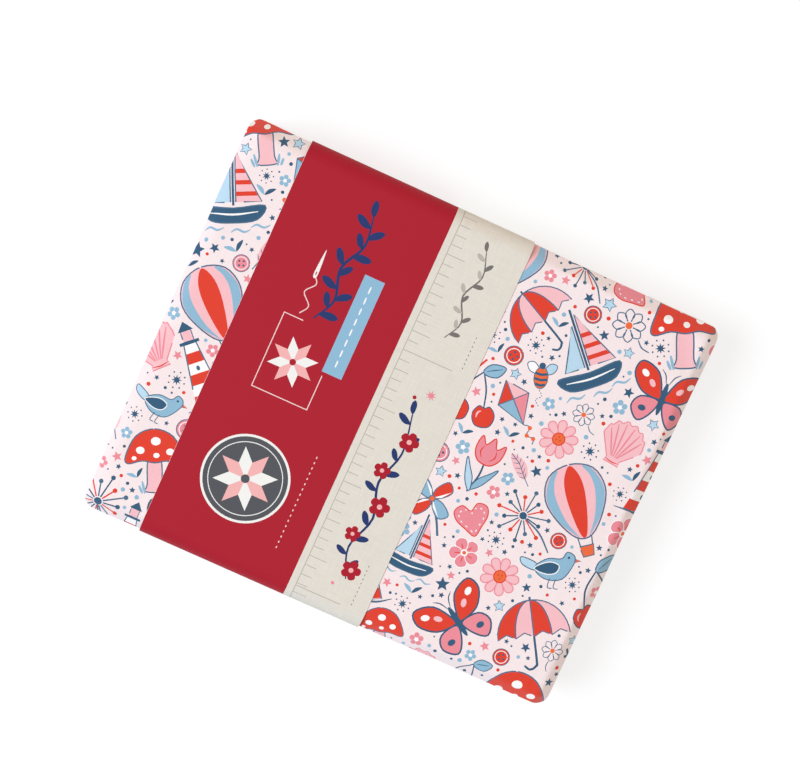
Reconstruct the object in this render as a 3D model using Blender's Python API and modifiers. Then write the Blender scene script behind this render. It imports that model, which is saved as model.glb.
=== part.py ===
"""A fat quarter bundle: sixteen quilting cottons, folded, stacked and held by one card belly band.

Each fat quarter is cut 457 x 559 mm, folded in half at +X and then back and forth in thirds along Y.
The script works in metres with +Z up. The origin is at the middle of the bundle's underside, X is the
long way of the stack, and the band wraps round the short way.
"""

import math
import random

import bmesh
import bpy
from mathutils import Matrix, Vector

MM = 0.001

# The cloth as it is cut, and the folded stack
CUT_WIDTH = 457 * MM            # folded in half, along X
CUT_LENGTH = 559 * MM           # folded in thirds, along Y
DEPTH = 190.4 * MM              # of the folded stack along Y: a little over a third of the length
PLY = 0.28 * MM                 # thickness of one ply of quilting cotton
PLY_GAP = 0.10 * MM             # air between two plies of one fat quarter
PIECE_GAP = 0.45 * MM           # air between two fat quarters
HALF_X = CUT_WIDTH / 4
HALF_Y = DEPTH / 2

# Heights that follow from the plies
DOUBLED = 2 * PLY + PLY_GAP     # one run: the cloth folded in half
RUN_PITCH = DOUBLED + PLY_GAP   # from one run of the thirds fold to the next
FOLDED = 3 * DOUBLED + 2 * PLY_GAP
PIECE_PITCH = FOLDED + PIECE_GAP
HALF_RADIUS = (PLY + PLY_GAP) / 2   # middle of the cloth round the half fold
THIRD_RADIUS = RUN_PITCH / 2        # middle of the doubled cloth round a thirds fold
THIRD_LENGTH = math.pi * THIRD_RADIUS

# The belly band
CARD = 0.50 * MM                # thickness of the card
CARD_GAP = 0.30 * MM            # air between the card and the cloth
BAND_LEFT = -86.0 * MM          # the band's two edges along X
BAND_RIGHT = 22.0 * MM
BAND_TOP_RADIUS = 8.5 * MM      # inside radius over the stack's top edges
BAND_BOTTOM_RADIUS = 2.6 * MM
BAND_CORNER_STEPS = 8

# Soft edges: the stack keeps its height inside the rim and thins towards its outline
RIM_X = 8.0 * MM                # width of the rim at the two short ends
RIM_Y = 10.0 * MM               # width of the rim along the two long sides
THINNER_X = 0.15                # share of the height that is lost at the outline
THINNER_Y = 0.22
KNOT_X = HALF_X - RIM_X
KNOTS_Y = (HALF_Y - RIM_Y, HALF_Y - RIM_Y / 2)
GENTLE_HALF = 0.25              # share of THINNER_Y that is lost by the second knot, where the rim steepens
STEADY_LEVEL = 0.20             # height, as a share of the stack, that the thinning leaves in place

# Unevenness of hand folding
SHORT = 1.0 * MM                # furthest that a fold or an edge falls short of the stack's outline
CROOKED = 0.3 * MM              # furthest that it runs out of square, at one end
CORNER_TUCK = 1.6 * MM          # how far the rim pulls each corner in, both ways
HALF_STEPS = 2                  # straight facets round the half fold
THIRD_STEPS = 3                 # straight facets round a thirds fold
SIDES = ("left", "right", "front", "back")
SEED = 18

# The sixteen cottons from the bottom up: colour, and how far the folds stand back from the outline
COTTONS = [
    # name,      sRGB colour, set back (mm)
    ("brick",    "B7312C", 0.9),
    ("cream",    "F1E8DA", 0.3),
    ("ink",      "24455E", 0.0),
    ("coral",    "F28C98", 0.0),
    ("sky",      "B9D7E8", 0.0),
    ("tomato",   "DE3B22", 0.0),
    ("blush",    "F9E4E4", 0.0),
    ("denim",    "5E86A4", 0.0),
    ("chalk",    "F6F3EE", 0.0),
    ("orange",   "EE6B35", 0.0),
    ("lake",     "8FBAD3", 0.0),
    ("rose",     "F5B5B8", 0.0),
    ("navy",     "2B5674", 0.0),
    ("paleblue", "CFE1EA", 0.0),
    ("red",      "C8322B", 0.3),
    ("print",    "F6D9D6", 0.0),
]
STACK_BOTTOM = CARD + CARD_GAP
STACK_HEIGHT = len(COTTONS) * PIECE_PITCH - PIECE_GAP
STEADY_Z = STACK_BOTTOM + STEADY_LEVEL * STACK_HEIGHT


def make_material(name, srgb, roughness):
    """A Principled material; srgb is a hexadecimal colour."""
    linear = []
    for start in (0, 2, 4):
        value = int(srgb[start:start + 2], 16) / 255
        linear.append(value / 12.92 if value <= 0.04045 else ((value + 0.055) / 1.055) ** 2.4)
    material = bpy.data.materials.new(name)
    material.use_nodes = True
    shader = material.node_tree.nodes["Principled BSDF"]
    shader.inputs["Base Color"].default_value = (*linear, 1)
    shader.inputs["Roughness"].default_value = roughness
    shader.inputs["Metallic"].default_value = 0
    return material


class Lay:
    """Where one fat quarter's folds and raw edges lie in the stack, and so where its flat cloth bends."""

    def __init__(self, index, set_back, chance):
        uneven = 0 if index == len(COTTONS) - 1 else 1      # the top one covers the others' edges

        def place(outline):
            """A fold or an edge just inside the outline, at its + or - side."""
            short = set_back + uneven * (CROOKED + chance.uniform(0, SHORT))
            return math.copysign(abs(outline) - short, outline)

        self.z = STACK_BOTTOM + index * PIECE_PITCH
        self.crooked = {side: uneven * chance.uniform(-CROOKED, CROOKED) for side in SIDES}

        # The half fold at +X, its turn centred on 0 across the flat cloth
        self.turn_x = place(HALF_X) - HALF_RADIUS - PLY / 2
        self.half_start = -math.pi * HALF_RADIUS / 2
        self.across_from = self.half_start - (self.turn_x - place(-HALF_X))
        self.across_to = -self.half_start + (self.turn_x - place(-HALF_X))

        # The thirds folds, the first at +Y and the second at -Y, centred on 0 along the flat cloth
        self.back_y = place(HALF_Y) - THIRD_RADIUS - DOUBLED / 2
        self.front_y = place(-HALF_Y) + THIRD_RADIUS + DOUBLED / 2
        self.second_turn = (self.back_y - self.front_y) / 2
        self.first_turn = -self.second_turn - THIRD_LENGTH
        self.length_to = self.second_turn + THIRD_LENGTH + (place(HALF_Y) - self.front_y)
        self.length_from = self.length_to - CUT_LENGTH      # the lowest run ends short of the front


def turn(distance, radius):
    """A half circle on a straight run: how far along and how far across a point of the cloth goes.

    distance is measured along the cloth from the start of the turn, which bends to the left.
    Returns the step along the first run, the step across it and the angle turned.
    """
    length = math.pi * radius
    if distance <= 0:
        return distance, 0, 0
    if distance >= length:
        return length - distance, 2 * radius, math.pi
    angle = distance / radius
    return radius * math.sin(angle), radius * (1 - math.cos(angle)), angle


def turn_marks(start, radius, facets):
    """Places along the cloth that split one turn into straight facets."""
    return [start + math.pi * radius * step / facets for step in range(facets + 1)]


def fold_in_half(lay, across, off):
    """Fold the flat cloth's width: returns x and the height off the doubled cloth's middle."""
    along, up, angle = turn(across - lay.half_start, HALF_RADIUS)
    x = lay.turn_x + along - off * math.sin(angle)
    return x, up - HALF_RADIUS + off * math.cos(angle)


def fold_in_thirds(lay, length, off):
    """Fold the doubled cloth's length back and forth: returns y and z above the lowest run's middle."""
    if length < lay.second_turn:
        along, up, angle = turn(length - lay.first_turn, THIRD_RADIUS)
        return lay.back_y + along - off * math.sin(angle), up + off * math.cos(angle)
    along, up, angle = turn(length - lay.second_turn, THIRD_RADIUS)
    return lay.front_y - along - off * math.sin(angle), RUN_PITCH + up - off * math.cos(angle)


def rim_share(place, knot, half):
    """How far into the soft rim a place lies: 0 inside it, 1 at the stack's outline."""
    return max(0, (abs(place) - knot) / (half - knot))


def thinning(x, y):
    """The share of its height that the stack keeps above a place."""
    in_x = rim_share(x, KNOT_X, HALF_X)
    gentle = min(rim_share(y, KNOTS_Y[0], KNOTS_Y[1]), 1) * GENTLE_HALF
    steep = rim_share(y, KNOTS_Y[1], HALF_Y) * (1 - GENTLE_HALF)
    return 1 - THINNER_X * in_x - THINNER_Y * (gentle + steep)


def settle(lay, x, y, z):
    """Run the folds out of square, pull in the corners and thin the stack towards its outline."""
    side_x = lay.crooked["left"] if x < 0 else lay.crooked["right"]
    side_y = lay.crooked["front"] if y < 0 else lay.crooked["back"]
    in_x = rim_share(x, KNOT_X, HALF_X)
    in_y = rim_share(y, KNOTS_Y[1], HALF_Y)
    tuck = CORNER_TUCK * in_x * in_y
    x_out = x + in_x * side_x * y / HALF_Y - math.copysign(tuck, x)
    y_out = y + in_y * side_y * x / HALF_X - math.copysign(tuck, y)
    return Vector((x_out, y_out, STEADY_Z + (z - STEADY_Z) * thinning(x_out, y_out)))


def width_marks(lay):
    """Crease lines across the flat cloth's width: the half fold, and where each ply enters the rim."""
    marks = turn_marks(lay.half_start, HALF_RADIUS, HALF_STEPS)
    for knot in (-KNOT_X, KNOT_X):
        marks += [lay.half_start - (lay.turn_x - knot), -lay.half_start + (lay.turn_x - knot)]
    return marks


def length_marks(lay):
    """Crease lines along the flat cloth's length: the thirds folds, and where each run enters the rim."""
    marks = turn_marks(lay.first_turn, THIRD_RADIUS, THIRD_STEPS)
    marks += turn_marks(lay.second_turn, THIRD_RADIUS, THIRD_STEPS)
    for knot in (-KNOTS_Y[1], -KNOTS_Y[0], KNOTS_Y[0], KNOTS_Y[1]):
        marks += [lay.first_turn - (lay.back_y - knot),
                  lay.first_turn + THIRD_LENGTH + (lay.back_y - knot),
                  lay.second_turn + THIRD_LENGTH + (knot - lay.front_y)]
    return marks


def fat_quarter(index, set_back, material, chance):
    """One cut rectangle of cotton, creased at its marks and folded into its place in the stack."""
    lay = Lay(index, set_back, chance)
    low = Vector((lay.across_from, lay.length_from, -PLY / 2))
    high = Vector((lay.across_to, lay.length_to, PLY / 2))
    cloth = bmesh.new()
    box = Matrix.Translation((low + high) / 2) @ Matrix.Diagonal((*(high - low), 1))
    bmesh.ops.create_cube(cloth, size=1, matrix=box)
    creases = [(Vector((mark, 0, 0)), Vector((1, 0, 0))) for mark in width_marks(lay)]
    creases += [(Vector((0, mark, 0)), Vector((0, 1, 0))) for mark in length_marks(lay)]
    for place, normal in creases:
        bmesh.ops.bisect_plane(cloth, geom=cloth.verts[:] + cloth.edges[:] + cloth.faces[:],
                               dist=MM / 1000, plane_co=place, plane_no=normal)
    for vertex in cloth.verts:
        across, length, off = vertex.co
        x, lift = fold_in_half(lay, across, off)
        y, z = fold_in_thirds(lay, length, lift)
        vertex.co = settle(lay, x, y, lay.z + DOUBLED / 2 + z)
    return finish(cloth, f"fat_quarter_{index + 1:02d}", material)


def finish(shape, name, material):
    """Turn the finished bmesh into a named object with its material."""
    mesh = bpy.data.meshes.new(name)
    shape.to_mesh(mesh)
    shape.free()
    mesh.materials.append(material)
    piece = bpy.data.objects.new(name, mesh)
    collection.objects.link(piece)
    return piece


def corner(centre_y, centre_z, radius, first_angle):
    """Points of one rounded corner of the band's outline, a quarter turn to the left."""
    steps = range(BAND_CORNER_STEPS + 1)
    angles = [first_angle + math.pi / 2 * step / BAND_CORNER_STEPS for step in steps]
    return [(centre_y + radius * math.cos(a), centre_z + radius * math.sin(a)) for a in angles]


def belly_band(material):
    """The card strip: a closed ring round the stack's short way, given its thickness by Solidify."""
    side = HALF_Y + CARD_GAP
    top = STACK_BOTTOM + STACK_HEIGHT + CARD_GAP
    high = BAND_TOP_RADIUS
    low = BAND_BOTTOM_RADIUS
    outline = corner(side - low, CARD + low, low, -math.pi / 2)
    outline += corner(side - high, top - high, high, 0)
    outline += corner(high - side, top - high, high, math.pi / 2)
    outline += corner(low - side, CARD + low, low, math.pi)

    ring = bmesh.new()
    points = [ring.verts.new((BAND_LEFT, y, z)) for y, z in outline]
    edges = [ring.edges.new((a, b)) for a, b in zip(points, points[1:] + points[:1])]
    swept = bmesh.ops.extrude_edge_only(ring, edges=edges)
    far_side = [item for item in swept["geom"] if isinstance(item, bmesh.types.BMVert)]
    bmesh.ops.translate(ring, verts=far_side, vec=(BAND_RIGHT - BAND_LEFT, 0, 0))
    bmesh.ops.recalc_face_normals(ring, faces=ring.faces)
    band = finish(ring, "belly_band", material)
    card = band.modifiers.new("Card", "SOLIDIFY")
    card.thickness = CARD
    card.offset = 1
    card.use_even_offset = True
    return band


for leftover in list(bpy.data.objects):
    bpy.data.objects.remove(leftover)
collection = bpy.data.collections.new("Fat quarter bundle")
bpy.context.scene.collection.children.link(collection)

dice = random.Random(SEED)
for number, (cotton, colour, back_mm) in enumerate(COTTONS):
    fat_quarter(number, back_mm * MM, make_material(f"Cotton {cotton}", colour, 0.85), dice)
belly_band(make_material("Card", "B02632", 0.6))
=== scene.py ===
"""A fat quarter bundle as it is sold: sixteen folded quilting cottons in one printed card belly band.

Every cotton is a flat cut sheet that is creased and folded in code, as it is by hand, and the top one
carries a small-scale summer print. The band is a strip of printed card wrapped round the short way.
Lengths are in millimetres until a mesh is made. +Z is up and the origin is under the bundle's middle.
"""

import math
import random
from functools import partial

import bpy
import numpy as np
from mathutils import Matrix, Vector
from mathutils.geometry import delaunay_2d_cdt


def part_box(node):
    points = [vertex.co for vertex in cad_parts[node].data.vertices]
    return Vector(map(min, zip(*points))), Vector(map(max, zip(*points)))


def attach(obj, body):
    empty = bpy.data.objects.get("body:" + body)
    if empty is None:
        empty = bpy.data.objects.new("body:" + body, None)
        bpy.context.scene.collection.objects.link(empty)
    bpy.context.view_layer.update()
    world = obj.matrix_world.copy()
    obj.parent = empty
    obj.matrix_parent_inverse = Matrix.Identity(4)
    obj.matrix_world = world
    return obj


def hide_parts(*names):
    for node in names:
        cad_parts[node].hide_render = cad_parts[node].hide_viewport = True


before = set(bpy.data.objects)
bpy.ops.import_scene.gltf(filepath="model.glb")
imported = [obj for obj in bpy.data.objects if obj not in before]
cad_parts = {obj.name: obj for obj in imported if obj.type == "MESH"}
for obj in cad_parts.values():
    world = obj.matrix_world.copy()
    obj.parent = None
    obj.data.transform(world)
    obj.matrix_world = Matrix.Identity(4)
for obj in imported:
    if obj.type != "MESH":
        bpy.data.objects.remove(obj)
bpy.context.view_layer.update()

MM = 0.001

# The cloth as it is cut and folded, as in the solids
CUT_WIDTH = 457.0               # folded in half, along X
CUT_LENGTH = 559.0              # folded in thirds, along Y
DEPTH = 190.4                   # of the folded stack along Y: a little over a third of the length
PLY = 0.28
PLY_GAP = 0.10
PIECE_GAP = 0.45
HALF_X = CUT_WIDTH / 4
HALF_Y = DEPTH / 2
DOUBLED = 2 * PLY + PLY_GAP
RUN_PITCH = DOUBLED + PLY_GAP
PIECE_PITCH = 3 * DOUBLED + 2 * PLY_GAP + PIECE_GAP
HALF_RADIUS = (PLY + PLY_GAP) / 2
THIRD_RADIUS = RUN_PITCH / 2
THIRD_LENGTH = math.pi * THIRD_RADIUS

# The belly band
CARD = 0.50                     # room that the solid keeps for the card
PAPER = 0.24                    # thickness of the card itself
CARD_GAP = 0.30
CARD_AIR = 0.01                 # between the card and the faces of the room it lies in
BAND_LEFT = -86.0
BAND_RIGHT = 22.0
RED_TO = -15.2                  # where the red ground meets the cream one
BAND_TOP_RADIUS = 8.5
BAND_BOTTOM_RADIUS = 2.6
BEND_KNOTS = 13                 # places round each of the card's four bends
LAP = 20.0                      # the card's glued overlap under the bundle
LAP_EASE = 6.0                  # length over which the card steps out round the lap

# The stack's soft outline: the width of each rim, and the share of the height that is lost at its edge
RIM_RAW, LOST_RAW = 8.0, 0.06           # at the raw edges
RIM_HALF, LOST_HALF = 5.6, 0.15         # at the half folds
RIM_BAND, LOST_BAND = 10.0, 0.22        # at the thirds folds under the band
RIM_FREE, LOST_FREE = 6.6, 0.20         # and away from it
LOST_CORNER = 0.10                      # and how much more at the corner of -X and +Y, which has slumped
FREE_AFTER = 18.0                       # how far from the band its pull on the rims ends
BEND = 0.10                             # how soon a pressed rim slopes: 0 at once
CORNER_REACH = 4.5                      # how near the corners are pulled in, and how far
CORNER_TUCK = 1.6
STEADY_LEVEL = 0.20                     # height, as a share of the stack's, that the rims leave in place
WAVE = 0.005                            # share of the height by which the stack is uneven
BULGE = 0.010                           # share by which it swells beside the band
NOSE_WOBBLE = 0.60                      # how far a fold or an edge wanders in from the outline
RAGGED, TOP_RAGGED = 0.6, 0.15          # how far a ply's raw edge stands back, and on the top cotton
RIM_STEPS = (0.6, 1.4, 2.4, 3.6, 5.0, 6.6, 8.4, 10.5)       # creases of the mesh in from each edge
COARSE, FINE = 24.0, 4.0                # between the mesh's lines elsewhere, and on the printed top
SEED = 18

# The stack's soft creases: from and to (x, y), half width and depth. A depth below 0 is a ridge
CREASES = (
    (116, 60, 92, 96, 4.0, 0.9),            # across the corner of +X and +Y
    (104, -42, 110, 48, 4.5, 0.5),          # beside the half fold
    (110, -62, 88, -93, 4.5, -0.5),         # towards the corner of +X and -Y
    (-114, 12, -90, 66, 5.0, 0.6),          # from the raw edges towards the band
    (-113, -88, -93, -38, 4.5, 0.7),
    (30, 96, 78, 84, 5.0, -0.4),            # along the back thirds folds
    (28, -70, 84, -90, 5.5, 0.5),           # and the front ones
)

# The sixteen cottons from the bottom up: ground, second ink, pattern, and the pattern's repeat (mm)
COTTONS = [
    ("brick", "B7312C", "8E211F", "plain", 0),
    ("cream", "F1E8DA", "C8322B", "dots", 6),
    ("ink", "24455E", "F1E8DA", "dots", 9),
    ("coral", "F28C98", "FBE9E8", "gingham", 6),
    ("sky", "B9D7E8", "F6F3EE", "stripes", 5),
    ("tomato", "DE3B22", "F6F3EE", "dots", 8),
    ("blush", "F9E4E4", "F28C98", "stripes", 4),
    ("denim", "5E86A4", "3F6785", "plain", 0),
    ("chalk", "F6F3EE", "2B5674", "gingham", 5),
    ("orange", "EE6B35", "F6F3EE", "dots", 5),
    ("lake", "8FBAD3", "F6F3EE", "stripes", 8),
    ("rose", "F5B5B8", "DE3B22", "dots", 7),
    ("navy", "2B5674", "8FBAD3", "stripes", 6),
    ("paleblue", "CFE1EA", "5E86A4", "dots", 5),
    ("red", "C8322B", "F6F3EE", "gingham", 4),
    ("print", "F4E2E0", "F4E2E0", "print", 0),
]
STACK_BOTTOM = CARD + CARD_GAP
STACK_HEIGHT = len(COTTONS) * PIECE_PITCH - PIECE_GAP
STACK_TOP = STACK_BOTTOM + STACK_HEIGHT
STEADY_Z = STACK_BOTTOM + STEADY_LEVEL * STACK_HEIGHT

INKS = {
    "ground": "F4E2E0", "red": "DF381F", "orange": "EC6733", "coral": "EA8993", "petal": "F5BBBF",
    "sky": "B7D4E4", "lake": "8DB5CC", "navy": "2B5674", "line": "446883", "white": "FAF6F3",
    "card red": "AD202F", "card cream": "E0D8CB", "card core": "F1EEE8", "card blue": "8FB8D0",
    "card navy": "2A3A6B", "card grey": "77716D", "rule": "B9B1A6", "charcoal": "55565A",
    "card petal": "F2B2AF", "card line": "F0D2CE",
}


def linear(colour):
    """A hexadecimal sRGB colour as the linear values that shaders and attributes take."""
    values = []
    for start in (0, 2, 4):
        value = int(colour[start:start + 2], 16) / 255
        values.append(value / 12.92 if value <= 0.04045 else ((value + 0.055) / 1.055) ** 2.4)
    return (*values, 1.0)


# Drawing: every motif is a list of inks and outlines, painted one over another, in millimetres

def placed(points, x=0, y=0, turned=0, size=1):
    """An outline enlarged, turned by degrees and moved."""
    angle = math.radians(turned)
    spin = np.array(((math.cos(angle), math.sin(angle)), (-math.sin(angle), math.cos(angle))))
    return np.asarray(points, float) * size @ spin + (x, y)


def oval(x, y, across, up=None, turned=0, sides=18):
    """A circle, or an ellipse where its half height is given too."""
    angles = np.linspace(0, 2 * math.pi, sides, endpoint=False)
    up = across if up is None else up
    return placed(np.column_stack((across * np.cos(angles), up * np.sin(angles))), x, y, turned)


def star(x, y, outer, inner, points=5, turned=90):
    """A star with its first point at the angle given."""
    angles = np.arange(2 * points) * math.pi / points
    radii = np.where(np.arange(2 * points) % 2, inner, outer)
    return placed(np.column_stack((radii * np.cos(angles), radii * np.sin(angles))), x, y, turned)


def eased(points, steps):
    """Points on smooth spans between the inner points of a path, end points left out."""
    p0, p1, p2, p3 = points[:-3], points[1:-2], points[2:-1], points[3:]
    spans = []
    for t in np.arange(steps) / steps:
        spans.append((2 * p1 + (p2 - p0) * t + (2 * p0 - 5 * p1 + 4 * p2 - p3) * t ** 2
                      + (3 * p1 - p0 - 3 * p2 + p3) * t ** 3) / 2)
    return np.stack(spans, axis=1).reshape(-1, 2)


def blob(points, steps=4):
    """A smooth closed outline through the points."""
    points = np.asarray(points, float)
    return eased(np.vstack((points[-1:], points, points[:2])), steps)


def curve(points, steps=5):
    """A smooth open line through the points."""
    points = np.asarray(points, float)
    ends = 2 * points[0] - points[1], 2 * points[-1] - points[-2]
    return np.vstack((eased(np.vstack((ends[0], points, ends[1])), steps), points[-1:]))


def widened(path, widths):
    """The outline of a line of the given width or widths."""
    along = np.gradient(path, axis=0)
    along /= np.linalg.norm(along, axis=1)[:, None]
    aside = np.column_stack((-along[:, 1], along[:, 0])) * (np.asarray(widths) / 2).reshape(-1, 1)
    return np.vstack((path + aside, (path - aside)[::-1]))


def stroke(points, width, tip=0.35):
    """A pen line through the points, its ends as thin as the share tip."""
    path = curve(points) if len(points) > 2 else np.asarray(points, float)
    if len(path) == 2:
        path = np.linspace(path[0], path[1], 4)
    share = np.sin(np.linspace(0.0, math.pi, len(path)))
    return widened(path, width * (tip + (1 - tip) * share))


def edging(shape, width):
    """A pen line round a shape, all but closed."""
    path = np.vstack((shape, shape[0] * 0.7 + shape[-1] * 0.3))
    return widened(path, width)


def drawn(ink, shape, line="line", width=0.42):
    """A filled shape with a pen line round it."""
    return [(ink, shape), (line, edging(np.asarray(shape, float), width))]


def mirrored(shape):
    """The same shape on the other side of the motif's upright."""
    return np.asarray(shape, float) * (-1, 1)


def around(shape, count, first=0):
    """Copies of a shape, turned evenly round the middle from a first angle."""
    return [placed(shape, turned=first + 360 / count * number) for number in range(count)]


def balloon():
    cover = blob([(0, 15), (7, 12.5), (9.5, 5.5), (7, -2), (2.4, -8),
                  (-2.4, -8), (-7, -2), (-9.5, 5.5), (-7, 12.5)])
    middle = blob([(0, 14.6), (2.4, 11), (3, 5.5), (2.2, -2), (0.8, -7.8),
                   (-0.8, -7.8), (-2.2, -2), (-3, 5.5), (-2.4, 11)])
    side = blob([(3.8, 13.8), (5.6, 10.5), (6.2, 5.5), (4.6, -2), (1.8, -7.6),
                 (2.3, -7.4), (6.7, -2), (9.1, 5.5), (6.8, 12)])
    art = [("petal", cover), ("red", middle), ("lake", side), ("lake", mirrored(side))]
    art += [("line", edging(cover, 0.45))]
    art += [("line", stroke([(way * 2.2, -8), (way * 1.9, -11)], 0.4, 1)) for way in (-1, 1)]
    return art + drawn("orange", [(-2.2, -11), (2.2, -11), (1.7, -14.4), (-1.7, -14.4)])


def sailboat():
    art = drawn("petal", [(0.8, -4), (0.8, 12), (4.8, 3.5), (8.6, -4)])
    art += [("red", [(1, low), (1, low + 1.3), (wide - 0.7, low + 1.3), (wide, low)])
            for low, wide in ((-2.2, 7.5), (1.2, 5.9), (4.6, 4.2))]
    art += drawn("sky", [(-0.8, -4), (-0.8, 9), (-3.9, 2), (-6.8, -4)])
    art += [("navy", stroke([(0, -5), (0, 13.6)], 0.7, 1))]
    art += drawn("navy", blob([(-9.5, -5.2), (0, -5.8), (9.5, -5.2), (7, -9.4), (0, -10.2), (-7, -9.4)]))
    art += [("white", stroke([(-7.4, -7), (0, -7.7), (7.4, -7)], 0.6))]
    return art + [("lake", stroke([(x - 3, y), (x - 1.2, y + 0.9), (x + 1, y), (x + 3, y + 0.7)], 0.7))
                  for x, y in ((-6, -12.2), (2, -13), (8, -11.8))]


def daisy():
    art = []
    for petal in around(blob([(2.2, -0.8), (6.8, -1.9), (8.4, 0), (6.8, 1.9), (2.2, 0.8)]), 9):
        art += drawn("petal", petal, "coral", 0.5)
    return art + drawn("orange", oval(0, 0, 2.7), "red", 0.5) + [
        ("red", oval(x, y, 0.42, sides=8)) for x, y in ((0.8, 0.6), (-0.9, 0.5), (0.1, -0.9))]


def tulip():
    art = [("navy", stroke([(0.4, 1), (0.9, -5), (-0.3, -12.5)], 0.8, 0.8))]
    leaf = blob([(0, -11.5), (3.6, -8), (6.4, -1.5), (6.6, 0.4), (4.2, -2.6), (1.2, -6.4)])
    art += drawn("lake", leaf) + drawn("sky", placed(mirrored(leaf), 0.4, -0.6))
    cup = blob([(-5, 10), (-5.4, 4.4), (-2.6, 0.3), (2.6, 0.3), (5.4, 4.4), (5, 10),
                (2.3, 7.2), (0, 11), (-2.3, 7.2)])
    art += drawn("coral", cup, "red", 0.5)
    return art + [("red", stroke([(way * 2.6, 6.6), (way * 3.1, 4), (way * 1.7, 1.8)], 0.5))
                  for way in (-1, 1)]


def umbrella():
    handle = [(0, 12.4), (0, -6.5), (-0.5, -9), (-2.4, -9.8), (-3.9, -8.4)]
    art = [("navy", stroke(handle, 0.75, 0.8))]
    rise = np.radians(range(0, 91, 10))
    feet = (-11, -5.5, 0, 5.5, 11)

    def rib(foot):
        return np.column_stack((foot * np.cos(rise), 11.4 * np.sin(rise)))

    gores = []
    for foot, next_foot, ink in zip(feet, feet[1:], ("red", "petal", "red", "petal")):
        hem = ((foot + next_foot) / 2, 1.5)
        gore = np.vstack((rib(next_foot), rib(foot)[-2::-1], hem))
        art += [(ink, gore)]
        gores += [("line", edging(gore, 0.38))]
    return art + gores


def butterfly():
    upper = blob([(0.6, 1), (3.5, 7.2), (9, 9), (10.2, 5), (6.6, 0.6), (1.2, -0.4)])
    lower = blob([(0.8, -0.8), (6.2, -1), (8, -4.6), (5, -8), (2, -5.2)])
    art = []
    for side in (np.asarray, mirrored):
        art += drawn("red", side(upper), "navy", 0.5) + drawn("coral", side(lower), "navy", 0.5)
        art += [("white", side(oval(7.2, 5.8, 1.3, 0.9, 30, 10))),
                ("petal", side(oval(4.3, 3.6, 1.3, 0.8, 45, 10))),
                ("navy", side(oval(4.8, -4.2, 1.2, 0.9, 0, 10)))]
        art += [("navy", side(stroke([(0.3, 4.2), (1.4, 7), (3, 8.4)], 0.35)))]
    return art + [("navy", oval(0, 0, 0.9, 5, sides=14))]


def cherries():
    art = [("navy", stroke([(-4.6, -3), (-2.6, 3.4), (2.4, 8.6)], 0.6, 0.8)),
           ("navy", stroke([(4.4, -4.2), (4.2, 2.2), (2.4, 8.6)], 0.6, 0.8))]
    art += drawn("lake", blob([(2.2, 8.8), (5, 11.6), (10, 11), (7.8, 7.4), (4, 7.2)]))
    art += [("navy", stroke([(3.2, 8.8), (6, 9.6), (8.8, 10.4)], 0.35))]
    for x, y in ((-4.9, -5.8), (4.6, -7.4)):
        cherry = blob([(x - 4, y + 0.6), (x - 2, y + 3.7), (x, y + 3), (x + 2, y + 3.7),
                       (x + 4, y + 0.6), (x + 2.4, y - 3.4), (x - 2.4, y - 3.4)])
        art += drawn("red", cherry, "navy", 0.4)
        art += [("petal", stroke([(x - 2.5, y - 0.6), (x - 2.1, y + 1.2), (x - 1, y + 2)], 0.7))]
    return art


def kite():
    art = [("line", widened(curve([(0, -9), (2.2, -11), (-0.6, -13.4), (1.8, -15.6), (0.4, -17.6)]), 0.4))]
    art += [("orange", oval(x, y, 0.9, sides=8)) for x, y in ((1.9, -11.2), (-0.3, -13.5), (1.6, -15.7))]
    art += [("red", [(0, 10), (-6.5, 2), (0, 2)]), ("petal", [(0, 10), (0, 2), (6.5, 2)]),
            ("lake", [(-6.5, 2), (0, -9), (0, 2)]), ("coral", [(6.5, 2), (0, 2), (0, -9)])]
    rim = np.array([(0, 10), (-6.5, 2), (0, -9), (6.5, 2)])
    art += [("line", stroke([(0, 9.8), (0, -8.8)], 0.4, 1)), ("line", stroke([(-6.3, 2), (6.3, 2)], 0.4, 1))]
    return art + [("line", edging(rim, 0.5))]


def pinwheel():
    art = [("line", stroke([(0, 0), (0.6, -8), (0.2, -15)], 0.9, 1))]
    blade = blob([(0.2, 0.4), (2.4, 3.8), (7.6, 5.4), (8.2, 1.2), (3.6, -0.4)])
    fold = [(0.4, 0.2), (7.9, 1.4), (3.6, -0.3)]
    for ink, sail, white in zip(("red", "lake", "red", "lake"), around(blade, 4), around(fold, 4)):
        art += drawn(ink, sail) + [("white", white)]
    return art + drawn("orange", oval(0, 0, 1.2, sides=10))


def anchor():
    rope = curve([(-7.6, 7.4), (-3, 5.2), (1.2, 1.2), (0.6, -2.4), (-2.2, -5.4), (0.8, -9.2), (6, -9.4)])
    art = [("navy", edging(oval(0, 7, 1.9, sides=12), 1.0)), ("navy", stroke([(0, 5.4), (0, -7.6)], 1.6, 1)),
           ("navy", stroke([(-4, 3), (4, 3)], 1.4, 1)),
           ("navy", stroke([(-7.4, -1.6), (-5.8, -6), (0, -8.2), (5.8, -6), (7.4, -1.6)], 1.6, 0.8))]
    art += [("navy", [(side * 9.2, -3), (side * 7.2, 0.8), (side * 5.2, -2.8)]) for side in (-1, 1)]
    return art + [("red", widened(rope, 0.8))]


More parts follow.
